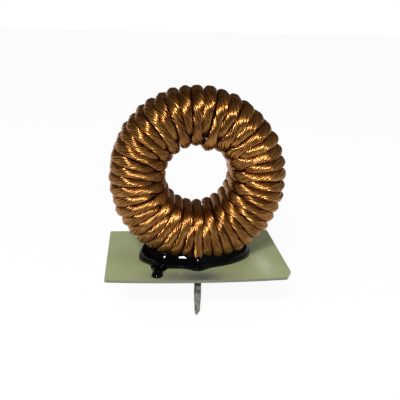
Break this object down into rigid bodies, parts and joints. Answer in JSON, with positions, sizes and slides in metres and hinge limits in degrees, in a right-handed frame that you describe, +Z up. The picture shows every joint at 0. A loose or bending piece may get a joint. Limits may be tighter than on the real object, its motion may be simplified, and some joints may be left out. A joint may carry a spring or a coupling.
{
  "type": "toroidal inductor",
  "caption": "Toroidal inductor with a twisted copper winding, standing on edge on a thin base plate, bedded in black epoxy, with a solder lead at front and back.",
  "frame": {"origin": "centre of the base plate's underside, midway between its side edges and between its back edge and the line of its front corners", "axes": "+Z up out of the base plate, the coil's own axis along Y, with the front face of the coil towards -Y"},
  "size_m": [0.055, 0.0435, 0.0682],
  "materials": {
    "core_coating": "satin",
    "enamelled_copper": "gloss",
    "tinned_lead": "satin",
    "glass_epoxy": "satin",
    "black_epoxy": "gloss"
  },
  "bodies": {
    "root": {"core": "core_coating", "winding": "enamelled_copper", "front_lead_tip": "tinned_lead", "rear_lead_tip": "tinned_lead", "base_plate": "glass_epoxy", "epoxy": "black_epoxy"}
  },
  "joints": []
}
